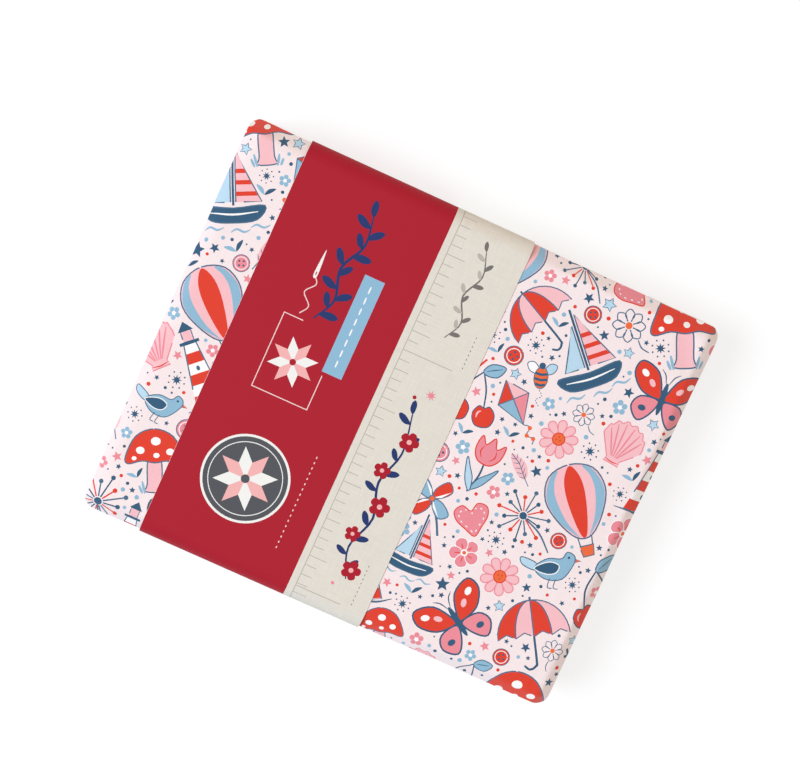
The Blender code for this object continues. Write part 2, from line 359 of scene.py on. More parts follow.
def lighthouse():
    def wall(low, high):
        foot, head = 4.6 - 0.13 * (low + 12), 4.6 - 0.13 * (high + 12)
        return [(-foot, low), (foot, low), (head, high), (-head, high)]

    art = [("white", wall(-12, 8))] + [("red", wall(low, low + 3.4)) for low in (-11.8, -5, 1.8)]
    art += [("line", edging(np.array(wall(-12, 8)), 0.42))]
    art += drawn("petal", [(-1.7, 8.9), (1.7, 8.9), (1.7, 12.4), (-1.7, 12.4)])
    art += [("navy", [(-3.2, 8), (3.2, 8), (3.2, 9), (-3.2, 9)])]
    art += [("navy", [(-2.5, 12.3), (2.5, 12.3), (0, 15.4)])]
    art += [("line", oval(0, y, 0.6, 0.85, sides=8)) for y in (-6.8, 0)]
    return art + [("line", stroke([(-7.6, -12.6), (-2, -12.1), (3, -12.9), (7.8, -12.3)], 0.7))]


def life_ring():
    outer, inner = oval(0, 0, 8, sides=26), oval(0, 0, 4, sides=20)
    bend = np.radians(np.arange(-20, 21, 8))
    arc = np.column_stack((np.cos(bend), np.sin(bend)))
    art = [("white", outer)]
    art += [("red", stripe) for stripe in around(np.vstack((arc * 8, arc[::-1] * 4)), 4, 45)]
    art += [("ground", inner), ("line", edging(outer, 0.42)), ("line", edging(inner, 0.42))]
    return art + [("line", rope) for rope in around(stroke([(7.9, -2.6), (9.4, 0), (7.9, 2.6)], 0.5, 1), 4)]


def pen_daisy():
    petal = stroke([(1.5, 0.5), (4, 1.7), (5.9, 0), (4, -1.7), (1.5, -0.5)], 0.42, 0.8)
    stem = stroke([(0.3, -6.2), (0, -9.2), (1.4, -12)], 0.5, 0.8)
    art = [("line", line) for line in around(petal, 8, 10)]
    return art + [("orange", oval(0, 0, 1.3, sides=10)), ("line", stem)]


def dandelion():
    art = [("line", stroke([(0, -1), (0.8, -8), (-0.6, -15)], 0.6, 0.8))]
    for count, turned in enumerate(range(0, 360, 24)):
        reach = 8.6 if count % 2 else 6.2
        ink = ("navy", "line", "red")[count % 3]
        art += [(ink, placed(stroke([(1.6, 0), (reach, 0)], 0.45, 1), turned=turned))]
        art += [(ink, placed(oval(reach, 0, 0.75, sides=8), turned=turned))]
    return art + [("navy", oval(0, 0, 1.3, sides=10))]


def toadstool():
    art = drawn("petal", blob([(-2, 1), (-2.4, -7), (-3, -9.4), (3, -9.4), (2.4, -7), (2, 1)]))
    cap = blob([(0, 11), (6, 8.6), (9.4, 2), (8.6, -0.4), (4, 0.6),
                (0, 0), (-4, 0.6), (-8.6, -0.4), (-9.4, 2), (-6, 8.6)])
    art += drawn("red", cap)
    spots = ((-4.6, 4, 1.4), (0.4, 7, 1.6), (5, 3.6, 1.3), (0.6, 2.4, 1.0), (-6.6, 1.4, 0.8))
    art += [("white", oval(x, y, size, size * 0.85, sides=12)) for x, y, size in spots]
    blades = ((-5, -7.4), (-4, -6), (4, -6.4), (5.2, -7.8))
    return art + [("lake", stroke([(x * 0.8, -10), (x, y)], 0.9, 0.5)) for x, y in blades]


def bee():
    wing = blob([(0.6, 1.6), (3.4, 5.6), (6.6, 5), (5.4, 1.8), (2, 0.6)])
    art = drawn("sky", wing) + drawn("white", mirrored(wing))
    body = oval(0, -1, 3.1, 4.8, sides=20)
    art += [("orange", body)]
    art += [("navy", stroke([(-wide, y), (0, y - 0.5), (wide, y)], 1.1, 1))
            for y, wide in ((1, 2.7), (-1.4, 2.9), (-3.8, 2.2))]
    trail = curve([(0, -6.4), (1.4, -9), (-1, -11), (0.6, -13.6)])
    art += [("line", stroke(dash, 0.4, 1)) for dash in zip(trail[:-1:2], trail[1::2])]
    return art + [("line", edging(body, 0.4)), ("navy", oval(0, 4.4, 1.5, sides=12))]


def feather():
    quill = curve([(-1.5, -10), (-0.6, -4), (0.8, 3), (0.2, 10)])
    art = [("petal", blob([(-1, -6), (2.4, -3), (3.8, 3), (0.2, 10), (-2.6, 4.4), (-3, -2)]))]
    art += [("line", widened(quill, 0.45))]
    for count, (x, y) in enumerate(quill[4:-3:2]):
        wide = 2.9 - abs(count - 2) * 0.35
        art += [("line", stroke([(x, y), (x + way * wide, y + 2.4)], 0.4)) for way in (1, -1)]
    return art


def shell():
    rim = [(9.2 * math.cos(a), 1 + 8.2 * math.sin(a) + 0.7 * math.cos(14 * a))
           for a in np.radians(range(-8, 190, 6))]
    fan = np.array(rim + [(-3, -7.6), (-3.6, -9.6), (3.6, -9.6), (3, -7.6)])
    art = drawn("petal", fan, "coral", 0.5)
    for slant in (-66, -40, -14, 14, 40, 66):
        angle = math.radians(90 - slant)
        tip = (8 * math.cos(angle), 1 + 7.4 * math.sin(angle))
        art += [("coral", stroke([(0.32 * tip[0] * 0.6, -6.6), tip], 0.8, 0.5))]
    return art + [("red", stroke([(-3.2, -8.4), (0, -8.9), (3.2, -8.4)], 0.5))]


def songbird():
    art = drawn("sky", blob([(-6.5, 0.4), (-13, 2.4), (-12.4, -0.6), (-7.2, -2.4)]))
    art += drawn("orange", [(7.6, 4.4), (11, 3.6), (7.8, 2.6)], "line", 0.35)
    art += drawn("lake", blob([(-7, -0.6), (-2.4, 3), (3, 3.6), (5, 6.6), (8.2, 5.2), (8, 1.4),
                               (4.4, -4.6), (-1.6, -5.6), (-6, -3.4)]))
    art += drawn("navy", blob([(2.4, 0.8), (-2, 1.6), (-7.4, -1.6), (-2.4, -3.4), (1.6, -2.4)]), "white", 0.4)
    art += [("navy", oval(5.9, 4.4, 0.55, sides=8))]
    return art + [("line", stroke([(x, -5), (x - 0.4, -8.6), (x + 1.4, -8.9)], 0.4, 1)) for x in (-0.6, 1.8)]


def heart():
    shape = blob([(0, 4.2), (3.4, 7.2), (7.4, 5.2), (7, 0.8), (3.6, -3.6),
                  (0, -7.4), (-3.6, -3.6), (-7, 0.8), (-7.4, 5.2), (-3.4, 7.2)])
    inner = shape * 0.74 + (0, -0.1)
    stitches = [("white", stroke(stitch, 0.5, 0.8)) for stitch in zip(inner[:-1:3], inner[1::3])]
    return drawn("coral", shape, "red", 0.5) + stitches


def sprig():
    stem = [(0.5, -11), (-0.6, -4), (0.4, 3), (0, 9)]
    art = [("navy", stroke(stem, 0.6, 0.6))]
    leaf = blob([(0, 0), (2.2, 1.6), (5.6, 1.1), (3.4, -0.9)], 3)
    for y, x in ((-8, 0.1), (-4.2, -0.4), (-0.4, -0.1), (3.4, 0.2)):
        art += [("lake", placed(leaf, x, y, 38)), ("navy", placed(mirrored(leaf), x, y + 0.9, -38))]
    return art + [("lake", placed(leaf, 0, 8, 80))]


def blossom():
    petal = blob([(0.8, 0), (2.6, -2.4), (5.6, -2.6), (7, 0), (5.6, 2.6), (2.6, 2.4)], 3)
    vein = stroke([(1.8, 0), (4.4, 0)], 0.5)
    art = []
    for outline, line in zip(around(petal, 5, 18), around(vein, 5, 18)):
        art += drawn("coral", outline, "white", 0.35) + [("red", line)]
    return art + [("white", oval(0, 0, 1.6, sides=12)), ("orange", oval(0, 0, 0.9, sides=10))]


def bow():
    loop = blob([(0.9, 0.6), (4.4, 3.8), (8.2, 3.4), (8.8, 0), (7.6, -2.8), (4, -2.2), (1, -0.6)])
    end = blob([(0.6, -0.6), (3, -3.4), (4.6, -8), (2.6, -7), (1, -8.4), (1.2, -4)])
    art = []
    for side in (mirrored, np.asarray):
        art += drawn("red", side(end), "navy", 0.4) + drawn("red", side(loop), "navy", 0.4)
        art += [("petal", side(stroke([(2.4, 0.8), (5, 1.4), (6.8, 0.6)], 0.7)))]
    return art + drawn("red", oval(0, 0, 1.7, 1.5, sides=12), "navy", 0.4)


def button(ink):
    art = drawn(ink, oval(0, 0, 4.2, sides=20)) + [("white", edging(oval(0, 0, 3.1, sides=18), 0.4))]
    return art + [("navy", oval(x, y, 0.55, sides=8)) for x in (-1.1, 1.1) for y in (-1.1, 1.1)]


def spool():
    art = drawn("orange", [(-4.6, 6.6), (-4.6, 4.4), (4.6, 4.4), (4.6, 6.6)])
    art += drawn("orange", [(-4.6, -4.4), (-4.6, -6.6), (4.6, -6.6), (4.6, -4.4)])
    art += drawn("red", blob([(-3.4, 4.4), (-3.7, 0), (-3.4, -4.4), (3.4, -4.4), (3.7, 0), (3.4, 4.4)], 3))
    art += [("petal", stroke([(-3.1, y + 0.7), (0, y), (3.1, y + 0.7)], 0.45, 0.8)) for y in (-3, -1, 1, 3)]
    return art + [("line", stroke([(3.4, -1), (6.6, -3.6), (5.6, -7.4), (8.8, -9.4)], 0.4))]


def plain_star(ink, outer, inner):
    return [(ink, star(0, 0, outer, inner))]


def open_star():
    return drawn("sky", star(0, 0, 3.0, 1.45), "line", 0.4)


def petal_flower(ink):
    art = [(ink, oval(2 * math.cos(a), 2 * math.sin(a), 1.2, sides=10))
           for a in np.radians(range(0, 360, 72))]
    return art + [("white", oval(0, 0, 0.9, sides=10))]


def spark():
    rays = [("navy", star(0, 0, 2.3, 1.0, 8))]
    return rays + [("navy", oval(3.5 * math.cos(a), 3.5 * math.sin(a), 0.4, sides=6))
                   for a in np.radians(range(22, 360, 45))]


def twin_leaves():
    leaf = blob([(0, -0.6), (2.4, 0.6), (4.4, 3), (1.4, 2.2)], 3)
    return [("navy", leaf), ("lake", mirrored(leaf))]


def bead(ink, radius):
    return [(ink, oval(0, 0, radius, sides=10))]


coral_button = partial(button, "coral")
red_button = partial(button, "red")
coral_flower = partial(petal_flower, "coral")
blue_flower = partial(petal_flower, "lake")
little_star = partial(plain_star, "navy", 2.6, 1.15)
big_star = partial(plain_star, "navy", 3.9, 1.75)
tiny_star = partial(plain_star, "navy", 1.5, 0.7)
coral_star = partial(plain_star, "coral", 2.4, 1.1)
navy_bead = partial(bead, "navy", 0.8)
red_bead = partial(bead, "red", 0.9)
blue_bead = partial(bead, "lake", 1.0)
speck = partial(bead, "line", 0.5)

BOLD = (balloon, sailboat, lighthouse, umbrella, butterfly, cherries, toadstool, dandelion)
PICTURES = (balloon, sailboat, butterfly, umbrella, cherries, kite, shell, songbird, anchor, tulip,
            lighthouse, daisy, pinwheel, bow, spool, blossom, heart, life_ring, pen_daisy, feather,
            dandelion, toadstool, bee)
FILLERS = (daisy, blossom, heart, sprig, life_ring, pen_daisy, bow, pinwheel, feather, dandelion, bee)
SMALL = (little_star, spark, coral_button, coral_flower, open_star, twin_leaves, red_button, big_star,
         spark, blue_flower, coral_star)
DOTS = (navy_bead, tiny_star, red_bead, tiny_star, speck, blue_bead)

# How each size is tossed: the motifs, tries a motif, least gap, smallest and largest size, and how far a
# motif keeps from the last ones of its kind
ROUNDS = (
    (BOLD, 170, 1.8, 1.35, 1.65, 112),
    (PICTURES, 170, 1.7, 1.00, 1.28, 64),
    (FILLERS, 120, 1.5, 0.82, 1.0, 44),
    (SMALL, 90, 1.4, 0.85, 1.10, 17),
    (DOTS, 60, 1.3, 0.80, 1.10, 6),
)
PRINT_REGION = (-118.0, -104.0, 126.0, 96.0)    # left, front, right and back, a little past the top ply
UPRIGHT = 24                    # how far the motifs' upright is turned from +Y, on average
SWAY = 40                       # and how far either way from that
CELL = 0.5                      # fineness of the plan that keeps the tossed motifs apart
MARK_STEP = 0.8                 # between the places that stand for a motif on the plan
PLAN_MARGIN = 20                # of the plan beyond the region
SNUG = 2                        # how near a neighbour counts as close, past the least gap


def inside(shape, x, y):
    """Whether places lie within a shape: how often it winds round them isn't 0."""
    x0, y0 = np.asarray(shape, float).T[:, :, None]
    x1, y1 = np.roll(x0, -1, axis=0), np.roll(y0, -1, axis=0)
    left = (x1 - x0) * (y - y0) - (x - x0) * (y1 - y0)
    turns = ((y0 <= y) & (y1 > y) & (left > 0)).sum(axis=0) - ((y0 > y) & (y1 <= y) & (left < 0)).sum(axis=0)
    return turns != 0


def covered(drawing):
    """Places less than a millimetre apart that a drawing covers."""
    outlines = np.vstack([shape for ink, shape in drawing])
    low, high = outlines.min(axis=0), outlines.max(axis=0)
    x, y = np.meshgrid(np.arange(low[0], high[0], MARK_STEP), np.arange(low[1], high[1], MARK_STEP))
    x, y = x.ravel(), y.ravel()
    hit = np.zeros(len(x), bool)
    for ink, shape in drawing:
        hit |= inside(shape, x, y)
    return np.vstack((outlines, np.column_stack((x, y))[hit]))


def tossed_print(region, chance):
    """Toss the motifs over a region (left, front, right, back), large ones first, close but not touching.

    Each motif is tried in many places, and takes the free one that lies closest to its neighbours.
    """
    low = np.array(region[:2]) - PLAN_MARGIN
    cells = ((np.array(region[2:]) + PLAN_MARGIN - low) / CELL).astype(int)
    bodies = np.empty((0, 2))
    homes = {}
    art = []

    def spots(marks):
        return tuple(np.clip(((marks - low) / CELL).astype(int), 0, cells - 1).T)

    def spread(plan, marks, reach):
        steps = np.arange(-math.ceil(reach / CELL), math.ceil(reach / CELL) + 1)
        disc = np.array([(a, b) for a in steps for b in steps if math.hypot(a, b) * CELL <= reach]) * CELL
        plan[spots((marks[:, None] + disc[None]).reshape(-1, 2))] = True

    for motifs, tries, clear, smallest, largest, own_room in ROUNDS:
        taken, close = np.zeros(cells, bool), np.zeros(cells, bool)
        if len(bodies):
            spread(taken, bodies, clear)
            spread(close, bodies, clear + SNUG)
        queue, misses = [], 0
        while misses < len(motifs):
            if not queue:
                queue = list(motifs)
                chance.shuffle(queue)
            motif = queue.pop()
            drawing = motif()
            marks = covered(drawing)
            kin = homes.setdefault(motif, [])
            best, found = -1.0, None
            for _ in range(tries):
                where = (chance.uniform(region[0], region[2]), chance.uniform(region[1], region[3]),
                         UPRIGHT + chance.uniform(-SWAY, SWAY), chance.uniform(smallest, largest))
                if any(math.dist(where[:2], home) < own_room for home in kin):
                    continue
                here = spots(placed(marks, *where))
                if taken[here].any():
                    continue
                snug = close[here].mean()
                if snug > best:
                    best, found = snug, where
            if found is None:
                misses += 1
                continue
            misses = 0
            kin.append(found[:2])
            art += [(ink, placed(shape, *found)) for ink, shape in drawing]
            body = placed(marks, *found)
            bodies = np.vstack((bodies, body))
            spread(taken, body, clear)
            spread(close, body, clear + SNUG)
    return art


# Flat sheets: a closed thin sheet with a printed face, made flat and then folded

def clipped(shape, window):
    """A shape cut off at a window (left, front, right, back), or None outside it."""
    points = [tuple(point) for point in shape]
    for axis, limit, keep in ((0, window[0], 1), (0, window[2], -1), (1, window[1], 1), (1, window[3], -1)):
        kept = []
        for here, there in zip(points, points[1:] + points[:1]):
            within = (here[axis] - limit) * keep >= 0
            if within:
                kept.append(here)
            if within != ((there[axis] - limit) * keep >= 0):
                share = (limit - here[axis]) / (there[axis] - here[axis])
                other = here[1 - axis] + share * (there[1 - axis] - here[1 - axis])
                kept.append((limit, other) if axis == 0 else (other, limit))
        points = kept
        if len(points) < 3:
            return None
    return np.array(points)


class FlatSheet:
    """Points (u, v, side) and faces of a closed sheet, its creases at the marks u and v.

    side is -1 on the printed face and 1 on the back. Within the window of marks the printed face is
    split along the edges of the print's shapes, so that each of its faces has one ink.
    """

    def __init__(self, u, v, window=None, art=()):
        self.u, self.v = u, v
        across, along = len(u), len(v)
        self.grid = np.arange(across * along).reshape(across, along)
        flat = np.stack(np.meshgrid(u, v, indexing="ij"), axis=-1).reshape(-1, 2)
        self.points = [np.column_stack((flat, np.full(len(flat), side))) for side in (-1.0, 1.0)]
        self.faces = []
        self.inks = []
        self.parts = []
        back = self.grid + across * along

        for i in range(across - 1):
            for j in range(along - 1):
                corners = (i, j), (i + 1, j), (i + 1, j + 1), (i, j + 1)
                self.add([back[c] for c in corners], "ground", "back")
                if not (window and window[0] <= i < window[1] and window[2] <= j < window[3]):
                    self.add([self.grid[c] for c in corners[::-1]], "ground", "face")
        for j in range(along - 1):
            for i, (a, b) in ((0, (j + 1, j)), (across - 1, (j, j + 1))):
                self.add([self.grid[i, a], self.grid[i, b], back[i, b], back[i, a]], "ground", "rim u")
        for i in range(across - 1):
            for j, (a, b) in ((0, (i, i + 1)), (along - 1, (i + 1, i))):
                self.add([self.grid[a, j], self.grid[b, j], back[b, j], back[a, j]], "ground", "rim v")
        if window:
            self.print_window(window, art)
        self.points = np.vstack(self.points)

    def add(self, corners, ink, part):
        self.faces.append(tuple(int(corner) for corner in corners))
        self.inks.append(ink)
        self.parts.append(part)

    def print_window(self, window, art):
        """Cut the printed face within the window along the shapes' edges, and ink it."""
        rows = self.grid[window[0]:window[1] + 1, window[2]:window[3] + 1]
        place = {int(name): number for number, name in enumerate(rows.ravel())}
        names = list(place)
        points = [tuple(self.points[0][name, :2]) for name in names]
        edges = [(place[int(a)], place[int(b)])
                 for line in list(rows) + list(rows.T) for a, b in zip(line, line[1:])]
        inset = 0.1
        room = (self.u[window[0]] + inset, self.v[window[2]] + inset,
                self.u[window[1]] - inset, self.v[window[3]] - inset)
        shapes = []
        for ink, shape in art:
            shape = clipped(shape, room)
            if shape is not None:
                corners = range(len(points), len(points) + len(shape))
                edges += list(zip(corners, [*corners[1:], corners[0]]))
                points += [tuple(point) for point in shape]
                shapes.append((ink, shape))
        found = delaunay_2d_cdt([Vector(point) for point in points], edges, [], 0, 1e-4)
        spots, _, triangles, spots_from, _, _ = found
        first = sum(len(part) for part in self.points)
        extra = []
        names_out = []
        for spot, sources in zip(spots, spots_from):
            known = [names[source] for source in sources if source < len(names)]
            if known:
                names_out.append(known[0])
            else:
                names_out.append(first + len(extra))
                extra.append((spot.x, spot.y, -1.0))

        # The last shape that a triangle's middle lies in gives its ink
        middles = np.array([tuple(spot) for spot in spots])[np.array(triangles)].mean(axis=1)
        inks = np.full(len(triangles), -1)
        for number, (ink, shape) in enumerate(shapes):
            near = np.flatnonzero(((middles > shape.min(axis=0)) & (middles < shape.max(axis=0))).all(axis=1))
            inks[near[inside(shape, *middles[near].T)]] = number
        for triangle, choice in zip(triangles, inks):
            ink = shapes[choice][0] if choice >= 0 else "ground"
            self.add([names_out[corner] for corner in reversed(triangle)], ink, "face")
        self.points.append(np.array(extra).reshape(-1, 3))


# Where the baked picture has each part of a sheet, as shares of its width
FACE_WIDE = 0.90                        # the printed face, from 0
EDGES_U, EDGES_V = (0.906, 0.912), (0.918, 0.924)       # where the strips of the cut edges start
EDGE_WIDE = 0.004
BACK_FROM, BACK_WIDE = 0.94, 0.06
HIDDEN_SHARE = 0.12                     # of the printed face, for what lies folded under the top ply
SMOOTH_TO = 50                          # degrees between faces up to which they are shaded as one


def make_sheet(name, flat, place, colour_of, bake_u, bake_v, material):
    """Fold a flat sheet with the function place, and give its mesh its inks and its flat maps."""
    mesh = bpy.data.meshes.new(name)
    mesh.from_pydata((place(flat.points) * MM).tolist(), [], flat.faces)
    sizes = np.array([len(face) for face in flat.faces])
    corners = np.concatenate(flat.faces)
    parts = np.repeat(np.array(flat.parts), sizes)

    ink = mesh.color_attributes.new("Print", "FLOAT_COLOR", "CORNER")
    colours = np.array([colour_of(ink_name) for ink_name in flat.inks])
    ink.data.foreach_set("color", np.repeat(colours, sizes, axis=0).ravel().astype(np.float32))

    u, v, side = flat.points[corners].T
    cloth = mesh.uv_layers.new(name="Cloth")
    cloth.data.foreach_set("uv", np.column_stack((u, v)).ravel().astype(np.float32))

    # The printed face has most of the baked picture, the back a strip of it and the cut edges a thin one
    across, along = bake_u(u), bake_v(v)
    through = (side + 1) / 2
    picture = np.column_stack((FACE_WIDE * across, along))
    back = np.column_stack((BACK_FROM + BACK_WIDE * across, along))
    picture[parts == "back"] = back[parts == "back"]
    end_u = np.where(u > flat.u.mean(), EDGES_U[1], EDGES_U[0])
    rim_u = np.column_stack((end_u + EDGE_WIDE * through, along))
    end_v = np.where(v > flat.v.mean(), EDGES_V[1], EDGES_V[0])
    rim_v = np.column_stack((end_v + EDGE_WIDE * through, across))
    picture[parts == "rim u"] = rim_u[parts == "rim u"]
    picture[parts == "rim v"] = rim_v[parts == "rim v"]
    bake = mesh.uv_layers.new(name="OFBake")
    bake.data.foreach_set("uv", picture.ravel().astype(np.float32))

    mesh.materials.append(material)
    mesh.validate()
    piece = bpy.data.objects.new(name, mesh)
    bpy.context.scene.collection.objects.link(piece)
    bpy.ops.object.select_all(action="DESELECT")
    piece.select_set(True)
    bpy.context.view_layer.objects.active = piece
    bpy.ops.object.shade_smooth_by_angle(angle=math.radians(SMOOTH_TO))
    piece.select_set(False)
    return piece


# Folding the cottons

def turn(distance, radius):
    """A half circle on a straight run: the step along it, the step across it and the angle turned."""
    angle = np.clip(distance / radius, 0, math.pi)
    straight = np.minimum(distance, 0) - np.maximum(distance - math.pi * radius, 0)
    return straight + radius * np.sin(angle), radius * (1 - np.cos(angle)), angle


def rim_share(place, half, width):
    """How far into the soft rim a place lies: 0 inside it, 1 at the stack's outline."""
    return np.clip((np.abs(place) - half + width) / width, 0, None)


def swell(x):
    """How much of the bulge beside the band a place has."""
    beside = np.maximum(x - BAND_RIGHT, BAND_LEFT - x)
    return (1 - np.cos(np.clip(beside / FREE_AFTER, 0, 1) * math.pi)) / 2


def pressed(share):
    """How far a pressed rim has gone down at a share of its width: straight but for a soft start."""
    return (np.hypot(share, BEND) - BEND) / (math.hypot(1, BEND) - BEND)


def creased(x, y):
    """How deep the soft creases are at a place."""
    depth = np.zeros_like(x)
    for from_x, from_y, to_x, to_y, half_width, deepest in CREASES:
        run_x, run_y = to_x - from_x, to_y - from_y
        length = math.hypot(run_x, run_y)
        share = ((x - from_x) * run_x + (y - from_y) * run_y) / length ** 2
        aside = ((x - from_x) * run_y - (y - from_y) * run_x) / length
        depth += deepest * np.sin(np.clip(share, 0, 1) * math.pi) * np.exp(-(aside / half_width) ** 2)
    return depth


def height_share(x, y):
    """The share of its height that the stack keeps above a place."""
    free = swell(x)
    raw = LOST_RAW * rim_share(np.minimum(x, 0), HALF_X, RIM_RAW) ** 2
    half = LOST_HALF * pressed(rim_share(np.maximum(x, 0), HALF_X, RIM_HALF))
    banded = LOST_BAND * rim_share(y, HALF_Y, RIM_BAND) ** 2
    slumped = LOST_CORNER * ((x < 0) & (y > 0))
    beside = (LOST_FREE + slumped) * pressed(rim_share(y, HALF_Y, RIM_FREE))
    share = 1 - raw - half - banded * (1 - free) - beside * free
    share = share + BULGE * free * np.cos(y / HALF_Y * 1.2) - free * creased(x, y) / STACK_HEIGHT
    return share + WAVE * free * np.sin(x / 27 + 0.7) * np.sin(y / 31 + 1.9)


def run_places(start, stop, spacing):
    """Places along one flat run, close together in its two soft rims."""
    rims = np.array(RIM_STEPS) * math.copysign(1, stop - start)
    spans = max(2, round((abs(stop - start) - 2 * RIM_STEPS[-1]) / spacing))
    middle = np.linspace(start + rims[-1], stop - rims[-1], spans + 1)
    return np.concatenate(([start], start + rims[:-1], middle, (stop - rims[:-1])[::-1], [stop]))


class Lay:
    """Where one cotton's folds and raw edges lie in the stack, and so where its flat cloth bends."""

    def __init__(self, number, chance):
        low, high = (np.array(corner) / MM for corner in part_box(f"fat_quarter_{number:02d}"))
        covers = number == len(COTTONS)
        ragged = TOP_RAGGED if covers else RAGGED
        self.z = STACK_BOTTOM + (number - 1) * PIECE_PITCH + DOUBLED / 2
        self.spacing = FINE if covers else COARSE

        # The half fold at +X, its turn centred on 0 across the flat cloth
        self.turn_x = high[0] - HALF_RADIUS - PLY / 2
        self.half_start = -math.pi * HALF_RADIUS / 2
        self.raw_x = [low[0] + chance.uniform(0, ragged) for ply in range(2)]

        # The thirds folds, the first at +Y and the second at -Y, centred on 0 along the flat cloth
        self.back_y = high[1] - THIRD_RADIUS - DOUBLED / 2
        self.front_y = low[1] + THIRD_RADIUS + DOUBLED / 2
        self.raw_y = high[1] - chance.uniform(0, ragged)
        self.second_turn = (self.back_y - self.front_y) / 2
        self.first_turn = -self.second_turn - THIRD_LENGTH
        self.length_to = self.second_turn + THIRD_LENGTH + self.raw_y - self.front_y
        self.length_from = self.length_to - CUT_LENGTH
        self.wander = {side: [chance.uniform(0, 2 * math.pi) for _ in range(3)] for side in "LRFB"}

    def marks(self):
        """The flat cloth's marks across and along, and the window of marks that the print is cut in."""
        lower = run_places(self.raw_x[0], self.turn_x, self.spacing)
        upper = run_places(self.turn_x, self.raw_x[1], self.spacing)
        fold = self.half_start + math.pi * HALF_RADIUS * np.array((0.25, 0.5, 0.75))
        u = np.concatenate((self.half_start - (self.turn_x - lower), fold,
                            -self.half_start + (self.turn_x - upper)))
        lowest_from = self.back_y - (self.first_turn - self.length_from)
        runs = (run_places(lowest_from, self.back_y, COARSE), run_places(self.back_y, self.front_y, COARSE),
                run_places(self.front_y, self.raw_y, self.spacing))
        fold = THIRD_LENGTH * np.arange(1, 6) / 6
        v = np.concatenate((self.first_turn - (self.back_y - runs[0]), self.first_turn + fold,
                            self.first_turn + THIRD_LENGTH + (self.back_y - runs[1]), self.second_turn + fold,
                            self.second_turn + THIRD_LENGTH + (runs[2] - self.front_y)))
        rim = len(RIM_STEPS)
        return u, v, (len(lower) - 1 - rim, len(u) - 1, len(v) - len(runs[2]) - 5 - rim, len(v) - 1)

    def flat_place(self, shape):
        """An outline seen from above on the top ply, as it lies on the flat cloth."""
        x, y = np.asarray(shape, float).T
        along = y - self.front_y + self.second_turn + THIRD_LENGTH
        return np.column_stack((self.turn_x - self.half_start - x, along))

    def stray(self, side, place):
        """How far a fold or an edge wanders in from the stack's outline at a place along it."""
        a, b, c = self.wander[side]
        waves = 0.6 * np.sin(place / 23 + a) + 0.3 * np.sin(place / 9.5 + b) + 0.1 * np.sin(place / 4 + c)
        return NOSE_WOBBLE * (1 + waves) / 2

    def place(self, points):
        """Fold the flat cloth in half, then in thirds, and settle it into the soft-edged stack."""
        across, length, side = points.T
        along, up, angle = turn(across - self.half_start, HALF_RADIUS)
        off = side * PLY / 2
        x = self.turn_x + along - off * np.sin(angle)
        lift = up - HALF_RADIUS + off * np.cos(angle)

        along, up, angle = turn(length - self.first_turn, THIRD_RADIUS)
        y_first = self.back_y + along - lift * np.sin(angle)
        z_first = up + lift * np.cos(angle)
        along, up, angle = turn(length - self.second_turn, THIRD_RADIUS)
        y_second = self.front_y - along - lift * np.sin(angle)
        z_second = RUN_PITCH + up - lift * np.cos(angle)
        y = np.where(length < 0, y_first, y_second)
        z = self.z + np.where(length < 0, z_first, z_second)

        in_x = np.minimum(rim_share(x, HALF_X, CORNER_REACH), 1.1)
        in_y = np.minimum(rim_share(y, HALF_Y, CORNER_REACH), 1.1)
        tuck = CORNER_TUCK * (in_x * in_y) ** 2
        stray_x = np.where(x < 0, self.stray("L", y), self.stray("R", y))
        stray_y = np.where(y < 0, self.stray("F", x), self.stray("B", x))
        x_out = x - np.copysign(tuck + in_x * stray_x, x)
        y_out = y - np.copysign(tuck + in_y * stray_y, y)
        z_out = STEADY_Z + (z - STEADY_Z) * height_share(x_out, y_out)
        return np.column_stack((x_out, y_out, z_out))


def along_map(marks, favoured=None):
    """Where the baked picture has a place on the flat cloth: most is for places past the favoured one."""
    knots, shares = [marks[0], marks[-1]], [0.0, 1.0]
    if favoured is not None:
        knots, shares = [marks[0], favoured, marks[-1]], [0.0, HIDDEN_SHARE, 1.0]
    return partial(np.interp, xp=knots, fp=shares)


# The band's card

def band_outline():
    """The card's way round the bundle: knots of length, y, z, outward y and z, from under the middle."""
    side = HALF_Y + CARD_GAP
    top = STACK_TOP + CARD_GAP
    corners = ((side - BAND_BOTTOM_RADIUS, CARD + BAND_BOTTOM_RADIUS, BAND_BOTTOM_RADIUS, -90),
               (side - BAND_TOP_RADIUS, top - BAND_TOP_RADIUS, BAND_TOP_RADIUS, 0),
               (BAND_TOP_RADIUS - side, top - BAND_TOP_RADIUS, BAND_TOP_RADIUS, 90),
               (BAND_BOTTOM_RADIUS - side, CARD + BAND_BOTTOM_RADIUS, BAND_BOTTOM_RADIUS, 180))
    inner, outer = PAPER / 2 + CARD_AIR, CARD - PAPER / 2 - CARD_AIR
    knots = [(-LAP / 2, CARD - inner, 0.0, -1.0), (LAP / 2 + LAP_EASE, CARD - inner, 0.0, -1.0)]
    for y, z, radius, first in corners:
        for angle in np.radians(np.linspace(first, first + 90, BEND_KNOTS)):
            knots.append((y + (radius + inner) * math.cos(angle), z + (radius + inner) * math.sin(angle),
                          math.cos(angle), math.sin(angle)))
    knots += [(-LAP / 2 - LAP_EASE, CARD - inner, 0.0, -1.0), (-LAP / 2, CARD - outer, 0.0, -1.0),
              (LAP / 2, CARD - outer, 0.0, -1.0)]
    knots = np.array(knots)
    lengths = np.concatenate(([0.0], np.cumsum(np.linalg.norm(np.diff(knots[:, :2], axis=0), axis=1))))
    return np.column_stack((lengths, knots))


# Materials

